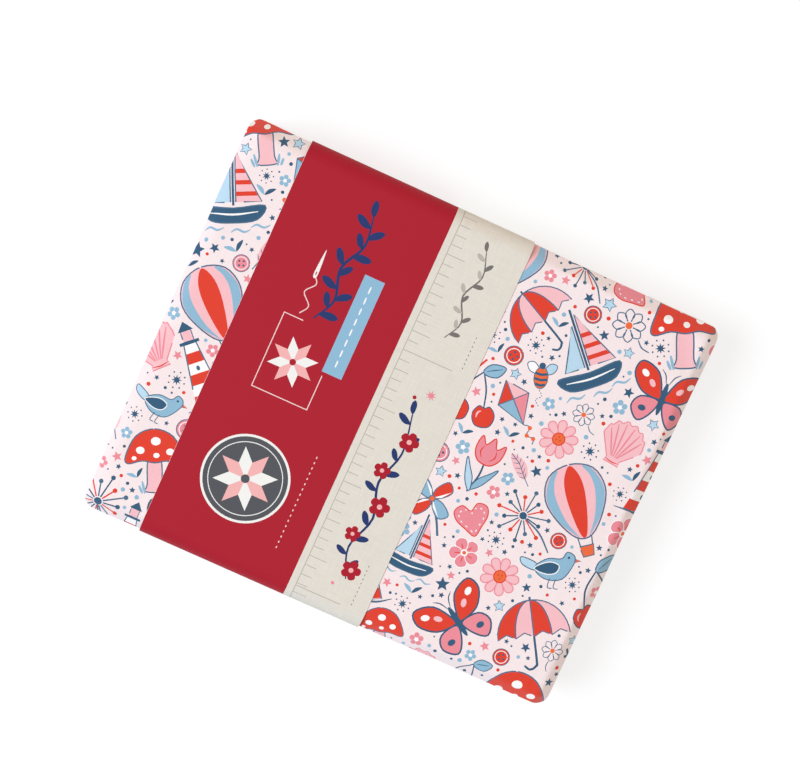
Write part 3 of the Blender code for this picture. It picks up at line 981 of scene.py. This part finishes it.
def add(material, kind, settings=(), **sockets):
    """Add a node with its settings, and set or link its inputs; underscores stand for spaces.

    A number names an input by its place, and a node stands for its first output that is switched on.
    """
    node = material.node_tree.nodes.new(kind)
    for name, value in dict(settings).items():
        setattr(node, name, value)
    for name, value in sockets.items():
        socket = node.inputs[int(name[1:])] if name[1:].isdigit() else node.inputs[name.replace("_", " ")]
        if isinstance(value, bpy.types.Node):
            value = next(output for output in value.outputs if output.enabled)
        if isinstance(value, bpy.types.NodeSocket):
            material.node_tree.links.new(value, socket)
        else:
            socket.default_value = value
    return node


def blank(name):
    """A material with only its output."""
    material = bpy.data.materials.new(name)
    material.use_nodes = True
    material.node_tree.nodes.clear()
    return material


MATHS = "ShaderNodeMath"
MIX = "ShaderNodeMix"
THREAD = 0.75                   # between the threads as they are drawn


def streaked(material, uv, long_scale, short_scale, detail):
    """Long soft streaks both ways of the cloth, added together: about 1, from 0 to 2."""
    ways = []
    for scale in ((short_scale, long_scale, 1), (long_scale, short_scale, 1)):
        stretched = add(material, "ShaderNodeMapping", Vector=uv, Scale=scale)
        noise = add(material, "ShaderNodeTexNoise", Vector=stretched, Scale=1.0, Detail=detail)
        ways.append(noise.outputs["Fac"])
    return add(material, MATHS, {"operation": "ADD"}, _0=ways[0], _1=ways[1])


def pattern_share(material, pattern, u, v, repeat):
    """How much of the second ink a gingham, a stripe or a dot pattern has at a place on the cloth."""
    along_u = add(material, MATHS, {"operation": "FLOORED_MODULO"}, _0=u, _1=repeat)
    along_v = add(material, MATHS, {"operation": "FLOORED_MODULO"}, _0=v, _1=repeat)
    if pattern == "stripes":
        return add(material, MATHS, {"operation": "LESS_THAN"}, _0=along_u, _1=repeat * 0.3)
    if pattern == "gingham":
        bar_u = add(material, MATHS, {"operation": "LESS_THAN"}, _0=along_u, _1=repeat * 0.5)
        bar_v = add(material, MATHS, {"operation": "LESS_THAN"}, _0=along_v, _1=repeat * 0.5)
        both = add(material, MATHS, {"operation": "ADD"}, _0=bar_u, _1=bar_v)
        return add(material, MATHS, {"operation": "MULTIPLY"}, _0=both, _1=0.5)
    corner = add(material, "ShaderNodeCombineXYZ", X=along_u, Y=along_v)
    middle = (repeat * 0.5, repeat * 0.5, 0)
    away = add(material, "ShaderNodeVectorMath", {"operation": "DISTANCE"}, _0=corner, _1=middle)
    return add(material, MATHS, {"operation": "LESS_THAN"}, _0=away.outputs["Value"], _1=repeat * 0.2)


def cotton(name, ground, ink, pattern, repeat):
    """Quilting cotton, a plain weave of fine combed yarn: matt, with a soft bloom at grazing light.

    The threads are really 0.37 mm apart, too fine to show at this size, so the weave is drawn at twice
    that, with a few slubs where a yarn runs thicker.
    """
    material = blank(f"Quilting cotton {name}")
    uv = add(material, "ShaderNodeUVMap", {"uv_map": "Cloth"})
    place = add(material, "ShaderNodeSeparateXYZ", Vector=uv)
    u, v = place.outputs[0], place.outputs[1]

    # The pattern; a plain cotton is only a little mottled by its dye
    if pattern == "print":
        colour = add(material, "ShaderNodeAttribute", {"attribute_name": "Print"})
    else:
        if pattern == "plain":
            mottle = add(material, "ShaderNodeTexNoise", Vector=uv, Scale=0.35, Detail=3.0)
            share = add(material, MATHS, {"operation": "MULTIPLY"}, _0=mottle.outputs["Fac"], _1=0.25)
        else:
            share = pattern_share(material, pattern, u, v, repeat)
        colour = add(material, MIX, {"data_type": "RGBA"}, _0=share, _6=linear(ground), _7=linear(ink))

    # Slubs: long streaks along each yarn direction, a few per cent lighter or darker
    slub = streaked(material, uv, 0.06, 1.3, 2.0)
    shade = add(material, MATHS, {"operation": "MULTIPLY_ADD"}, _0=slub, _1=0.09, _2=0.91)
    grey = add(material, "ShaderNodeCombineColor", Red=shade, Green=shade, Blue=shade)
    colour = add(material, MIX, {"data_type": "RGBA", "blend_type": "MULTIPLY"}, _0=1.0, _6=colour, _7=grey)

    # The weave: warp and weft threads pass over and under each other
    threads = []
    for side in (u, v):
        angle = add(material, MATHS, {"operation": "MULTIPLY"}, _0=side, _1=math.pi / THREAD)
        threads.append(add(material, MATHS, {"operation": "SINE"}, _0=angle))
    weave = add(material, MATHS, {"operation": "MULTIPLY"}, _0=threads[0], _1=threads[1])
    height = add(material, MATHS, {"operation": "MULTIPLY_ADD"}, _0=slub, _1=0.6, _2=weave)
    bump = add(material, "ShaderNodeBump", Strength=0.18, Distance=0.00008, Height=height)
    shader = add(material, "ShaderNodeBsdfPrincipled", Base_Color=colour, Roughness=0.86, IOR=1.5,
                 Sheen_Weight=0.15, Sheen_Roughness=0.5, Normal=bump)
    add(material, "ShaderNodeOutputMaterial", Surface=shader)
    return material


def printed_card():
    """Uncoated 250 g card, printed in offset: the red ground has a satin varnish, the cream one looks like
    linen, with flecks and crossed threads about 1 mm apart."""
    material = blank("Printed card")
    uv = add(material, "ShaderNodeUVMap", {"uv_map": "Cloth"})
    colour = add(material, "ShaderNodeAttribute", {"attribute_name": "Print"})
    across = add(material, "ShaderNodeSeparateXYZ", Vector=uv).outputs[0]
    on_cream = add(material, MATHS, {"operation": "GREATER_THAN"}, _0=across, _1=RED_TO)

    linen = streaked(material, uv, 0.11, 1.1, 3.0)
    uneven = add(material, MATHS, {"operation": "SUBTRACT"}, _0=linen, _1=1.0)
    depth = add(material, MATHS, {"operation": "MULTIPLY_ADD"}, _0=on_cream, _1=0.10, _2=0.03)
    shade = add(material, MATHS, {"operation": "MULTIPLY_ADD"}, _0=uneven, _1=depth, _2=0.985)
    grey = add(material, "ShaderNodeCombineColor", Red=shade, Green=shade, Blue=shade)
    colour = add(material, MIX, {"data_type": "RGBA", "blend_type": "MULTIPLY"}, _0=1.0, _6=colour, _7=grey)
    roughness = add(material, MATHS, {"operation": "MULTIPLY_ADD"}, _0=on_cream, _1=0.12, _2=0.56)
    fibre = add(material, "ShaderNodeTexNoise", Vector=uv, Scale=0.9, Detail=4.0)
    bump = add(material, "ShaderNodeBump", Strength=0.12, Distance=0.00008, Height=fibre.outputs["Fac"])
    shader = add(material, "ShaderNodeBsdfPrincipled", Base_Color=colour, Roughness=roughness, IOR=1.48,
                 Specular_IOR_Level=0.1, Normal=bump)
    add(material, "ShaderNodeOutputMaterial", Surface=shader)
    return material


def ink_colour(name):
    """An ink's colour on a cotton."""
    return linear(INKS[name])


def card_colour(name):
    """An ink's colour on the card, where bare ground shows the card itself."""
    return linear(INKS["card core" if name == "ground" else name])


def make_cottons(chance):
    """The sixteen folded cottons, each in its solid's place."""
    pieces = []
    for count, (name, ground, ink, pattern, repeat) in enumerate(COTTONS, 1):
        lay = Lay(count, chance)
        u, v, window = lay.marks()
        if pattern == "print":
            tossed = tossed_print(PRINT_REGION, random.Random(SEED))
            art = [(ink_name, lay.flat_place(shape)) for ink_name, shape in tossed]
            flat = FlatSheet(u, v, window, art)
            maps = along_map(u, u[window[0]]), along_map(v, v[window[2]])
        else:
            flat = FlatSheet(u, v)
            maps = along_map(u), along_map(v)
        material = cotton(name, ground, ink, pattern, repeat)
        node = f"fat_quarter_{count:02d}"
        piece = make_sheet(f"{node}_{name}", flat, lay.place, ink_colour, *maps, material)
        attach(piece, "root")
        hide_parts(node)
        pieces.append(piece)
    return pieces


def block(left, front, right, back):
    """A rectangle by its edges."""
    return [(left, front), (right, front), (right, back), (left, back)]


def vine(stem, leaf_size, every, inks, lean=52):
    """A stem through the points with a leaf on each side by turns."""
    path = curve(stem, 8)
    stem_ink, first_ink, second_ink = inks
    art = [(stem_ink, stroke(stem, 0.16 * leaf_size, 0.5))]
    leaf = blob([(0, 0), (0.34, 0.24), (0.8, 0.2), (1, 0), (0.72, -0.16), (0.3, -0.13)], 4)
    for count, spot in enumerate(range(2, len(path) - 1, every)):
        heading = math.degrees(math.atan2(*(path[spot + 1] - path[spot - 1])[::-1]))
        way = 1 if count % 2 else -1
        size = leaf_size * (1.0, 0.86, 0.94)[count % 3]
        art += [((first_ink, second_ink)[count % 2], placed(leaf, *path[spot], heading + way * lean, size))]
    tip = path[-1] - path[-3]
    heading = math.degrees(math.atan2(tip[1], tip[0]))
    return art + [(stem_ink, placed(leaf, *path[-1], heading, leaf_size * 0.9))]


def quilt_star(x, y, reach, inks):
    """The eight-pointed star of patchwork, its diamonds in two inks by turns."""
    side = reach / (2 * math.cos(math.radians(22.5)))
    bend = (side * math.cos(math.radians(22.5)), side * math.sin(math.radians(22.5)))
    diamond = [(0, 0), (bend[0], -bend[1]), (reach, 0), (bend[0], bend[1])]
    return [(inks[count % 2], placed(diamond, x, y, 45 * count + 22.5)) for count in range(8)]


PAST_ENDS = 600                 # a stripe along the whole card starts and ends beyond it
TICK_PITCH, FIRST_TICK = 4.62, 1.2


def rule_ticks():
    """A tape measure's ticks along the cream ground, all the way round."""
    art = [("rule", block(-12.1, -PAST_ENDS, -11.7, PAST_ENDS))]
    for count in range(-64, 65):
        reach = 8.6 if count % 8 == 0 else 6.6 if count % 4 == 0 else 5.1
        y = count * TICK_PITCH + FIRST_TICK
        art += [("rule", block(-11.8, y - 0.18, -11.8 + reach, y + 0.18))]
    return art


def running_stitch(x, front, back, length, gap, width, ink):
    """A row of stitches along y."""
    count = int((back - front + gap) / (length + gap))
    starts = [front + number * (length + gap) for number in range(count)]
    return [(ink, stroke([(x, y), (x, y + length)], width, 0.7)) for y in starts]


def red_side():
    """On the red ground: a framed patchwork star, a navy vine, a blue ribbon and a round badge."""
    frame_line = [(-57.5, 22.2), (-66.4, 22.2), (-66.4, -13.5), (-39.7, -13.5), (-39.7, 3.0)]
    art = []
    for (ax, ay), (bx, by) in zip(frame_line, frame_line[1:]):
        low_x, high_x = min(ax, bx) - 0.22, max(ax, bx) + 0.22
        low_y, high_y = min(ay, by) - 0.22, max(ay, by) + 0.22
        art += [("card line", block(low_x, low_y, high_x, high_y))]
    star_at = (-54, 3.4)
    art += quilt_star(*star_at, 11.4, ("card core", "card petal"))
    art += [("card red", oval(*star_at, 1.5, sides=12))]

    # A needle that draws a thread, then the vine and the ribbon with its stitches
    thread = curve([(-60.2, 24.5), (-57.8, 29), (-62, 34), (-58.6, 39), (-60.6, 42.5)], 8)
    art += [("card line", widened(thread, 0.5)),
            ("card core", blob([(-61.2, 41.6), (-61.5, 44.6), (-60.6, 55), (-59.7, 44.6), (-60, 41.6)], 5)),
            ("card red", oval(-60.6, 43.6, 0.26, 1.0, sides=10))]
    art += vine([(-53.6, 25), (-48.4, 36), (-51.6, 50), (-46, 63), (-47.6, 76)], 8.6, 3,
                ("card navy", "card navy", "card navy"))
    art += [("card blue", block(-40.7, 5, -31.2, 52))]
    art += running_stitch(-36.0, 9.0, 48.6, 3.2, 1.9, 0.7, "white")

    # The round badge: two rings and a patchwork star with a leaf at each point
    badge_at = (-52, -53)
    art += [("card core", oval(*badge_at, 20.2, sides=64)), ("charcoal", oval(*badge_at, 19.1, sides=64)),
            ("card core", oval(*badge_at, 16.9, sides=56)), ("charcoal", oval(*badge_at, 16.5, sides=56))]
    art += quilt_star(*badge_at, 14.6, ("card core", "card petal"))
    art += [("charcoal", oval(*badge_at, 2.0, sides=16))]
    leaf = blob([(9.2, 0), (11.2, 0.7), (13.2, 0), (11.2, -0.7)], 4)
    art += [("charcoal", placed(leaf, *badge_at, 45 * count)) for count in range(8)]
    return art + running_stitch(-26.8, -76, -30, 1.0, 1.6, 0.55, "card line")


def cream_side():
    """On the cream ground: the tape measure, a fine grey spray and a garland of red flowers."""
    art = rule_ticks()
    art += [("rule", block(-11.9, 28.7, 11.8, 29.1)), ("rule", block(-11.9, -87.9, 9.8, -87.5))]
    art += vine([(2.6, 41), (6.6, 50), (2.4, 61), (6.8, 72), (3.8, 83)], 5.0, 3,
                ("card grey", "card grey", "rule"), 46)
    art += vine([(7.4, -76), (2.6, -62), (7.2, -46), (2.8, -30), (7.0, -14), (4.0, 4)], 7.2, 4,
                ("card navy", "card navy", "card navy"))
    petal = blob([(0.5, 0), (1.9, -1.7), (4.0, -1.5), (4.6, 0), (4.0, 1.5), (1.9, 1.7)], 3)
    flowers = ((8.0, -71.5, 1.0), (1.8, -56, 0.8), (7.8, -40, 1.05), (2.0, -24.5, 0.85), (7.8, -8, 1.0))
    for x, y, size in flowers:
        for turned in range(0, 360, 72):
            art += [("card red", placed(petal, x, y, turned + 10 * size * x, size))]
        art += [("card petal", oval(x, y, 1.15 * size, sides=12))]
    art += [("coral", star(8.0, 15.0, 2.6, 1.0, 8)), ("card red", oval(1.6, 11.4, 0.9, sides=10)),
            ("coral", oval(2.8, -80.0, 0.8, sides=10))]
    art += running_stitch(15.6, 31.5, 48, 0.8, 1.3, 0.4, "card grey")
    return art + running_stitch(14.6, -86, -66, 0.8, 1.3, 0.4, "card grey")


def band_art():
    """What is printed on the band, seen from above: x across the bundle and y along the band."""
    return ([("card red", block(BAND_LEFT - 1, -PAST_ENDS, RED_TO, PAST_ENDS)),
             ("card cream", block(RED_TO, -PAST_ENDS, BAND_RIGHT + 1, PAST_ENDS))]
            + red_side() + cream_side())


def make_band():
    """The card strip, wrapped from under the bundle's middle, over the top and back to its lap."""
    outline = band_outline()
    lengths = outline[:, 0]
    top = slice(1 + 2 * BEND_KNOTS, 3 + 2 * BEND_KNOTS)       # the knots at both ends of the flat top
    top_at = np.interp(0.0, -outline[top, 1], outline[top, 0])
    u = np.array((BAND_LEFT, RED_TO, BAND_RIGHT))
    art = [(ink, np.asarray(shape, float) * (1, -1) + (0, top_at)) for ink, shape in band_art()]
    flat = FlatSheet(u, lengths, (0, len(u) - 1, 0, len(lengths) - 1), art)

    def place(points):
        x, length, side = points.T
        y, z, out_y, out_z = (np.interp(length, lengths, outline[:, column]) for column in (1, 2, 3, 4))
        off = -side * PAPER / 2
        return np.column_stack((x, y + off * out_y, z + off * out_z))

    band = make_sheet("belly_band_card", flat, place, card_colour, along_map(u), along_map(lengths),
                      printed_card())
    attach(band, "root")
    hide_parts("belly_band")
    return band


# The studio

WIDTH, HEIGHT = 800, 779
SCALE = 0.4458                  # millimetres in a pixel at the bundle's top
TURN = math.radians(24.56)      # the bundle's long way falls to the right in the picture
TILT_BACK = math.radians(5.7)   # the camera looks from a little behind +Y
TILT_LEFT = math.radians(3.0)   # and from a little beyond -X
DISTANCE = 800.0
CENTRE = 400.6, 418.2           # where the bundle's middle falls in the picture
AIM_HEIGHT = 40.0
SUN = Vector((-28, -8, 43)).normalized()        # towards the soft box
BOX_DISTANCE, BOX_SIZE, BOX_POWER = 4.0, 2.0, 106.0     # metres, metres and watts
BOX_COLOUR = (0.90, 0.98, 1.10)
WARM_SIDE = (0.5, 0.87, 0.0)                    # where the sky is warm; it is cool on the other side
COOL, WARM = (0.72, 0.98, 1.23, 1), (1.24, 0.90, 0.54, 1)
SKY_LEVEL, SKY_RISE = 0.29, 0.43                # strength at the horizon, and how much more overhead
TABLE_SIZE, TABLE_GREY, TABLE_GLOW = 8.0, 0.28, 0.745
BACKDROP_RADIUS, BACKDROP_HEIGHT = 3.9, 1.6     # metres


def lamp(name, towards, distance, size, energy, colour):
    """A round soft light that faces the bundle."""
    light = bpy.data.lights.new(name, "AREA")
    light.shape = "DISK"
    light.size = size
    light.energy = energy
    light.color = colour
    body = bpy.data.objects.new(name, light)
    turned = towards.to_track_quat("Z", "Y").to_matrix().to_4x4()
    body.matrix_world = Matrix.Translation(towards * distance) @ turned
    bpy.context.scene.collection.objects.link(body)


def make_studio():
    """The camera, one large soft light, a sky that is warm on one side, and a white table and backdrop."""
    turned = Matrix.Rotation(-TILT_LEFT, 3, "Y") @ Matrix.Rotation(-TILT_BACK, 3, "X")
    right = turned @ Vector((math.cos(TURN), math.sin(TURN), 0))
    up = turned @ Vector((-math.sin(TURN), math.cos(TURN), 0))
    back = right.cross(up)
    aside = (WIDTH / 2 - CENTRE[0]) * SCALE
    above = (CENTRE[1] - HEIGHT / 2) * SCALE
    eye = Vector((0, 0, AIM_HEIGHT)) + back * DISTANCE + right * aside + up * above
    lens = bpy.data.cameras.new("Camera")
    lens.sensor_width = 36.0
    lens.lens = lens.sensor_width * DISTANCE / (WIDTH * SCALE)
    camera = bpy.data.objects.new("Camera", lens)
    camera.matrix_world = Matrix.Translation(eye * MM) @ Matrix((right, up, back)).transposed().to_4x4()
    bpy.context.scene.collection.objects.link(camera)
    bpy.context.scene.camera = camera

    lamp("Soft box", SUN, BOX_DISTANCE, BOX_SIZE, BOX_POWER, BOX_COLOUR)

    # The sky is brighter overhead, warm on one side and cool on the other
    world = bpy.data.worlds.new("Sky")
    world.use_nodes = True
    world.node_tree.nodes.clear()
    towards = add(world, "ShaderNodeTexCoord").outputs["Generated"]
    side = add(world, "ShaderNodeVectorMath", {"operation": "DOT_PRODUCT"}, _0=towards, _1=WARM_SIDE)
    warm = add(world, MATHS, {"operation": "MULTIPLY_ADD"}, _0=side.outputs["Value"], _1=0.5, _2=0.5)
    colour = add(world, MIX, {"data_type": "RGBA"}, _0=warm, _6=COOL, _7=WARM)
    height = add(world, "ShaderNodeSeparateXYZ", Vector=towards).outputs[2]
    strength = add(world, MATHS, {"operation": "MULTIPLY_ADD"}, _0=height, _1=SKY_RISE, _2=SKY_LEVEL)
    sky = add(world, "ShaderNodeBackground", Color=colour, Strength=strength)
    add(world, "ShaderNodeOutputWorld", Surface=sky)
    bpy.context.scene.world = world

    # The table glows a little, so that the bundle's shadow stays as faint as it is on a lit white sweep
    bpy.ops.mesh.primitive_plane_add(size=TABLE_SIZE, location=(0, 0, 0))
    table = bpy.context.active_object
    table.name = "Table"
    paper = blank("White paper sweep")
    shader = add(paper, "ShaderNodeBsdfPrincipled", Roughness=1.0, Specular_IOR_Level=0.0,
                 Base_Color=(TABLE_GREY, TABLE_GREY, TABLE_GREY, 1),
                 Emission_Color=(1, 1, 1, 1), Emission_Strength=TABLE_GLOW)
    add(paper, "ShaderNodeOutputMaterial", Surface=shader)
    table.data.materials.append(paper)

    # A white backdrop behind the table's far edge, for low views; it only shows, and gives no light
    bpy.ops.mesh.primitive_cylinder_add(vertices=96, radius=BACKDROP_RADIUS, depth=BACKDROP_HEIGHT,
                                        end_fill_type="NOTHING", location=(0, 0, BACKDROP_HEIGHT / 2))
    backdrop = bpy.context.active_object
    backdrop.name = "Backdrop"
    backdrop.visible_diffuse = False
    backdrop.visible_glossy = False
    backdrop.visible_shadow = False
    white = blank("White backdrop")
    add(white, "ShaderNodeOutputMaterial", Surface=add(white, "ShaderNodeEmission", Color=(1, 1, 1, 1)))
    backdrop.data.materials.append(white)
    bpy.context.scene.view_settings.view_transform = "Standard"


make_studio()
cottons = make_cottons(random.Random(SEED))
band = make_band()
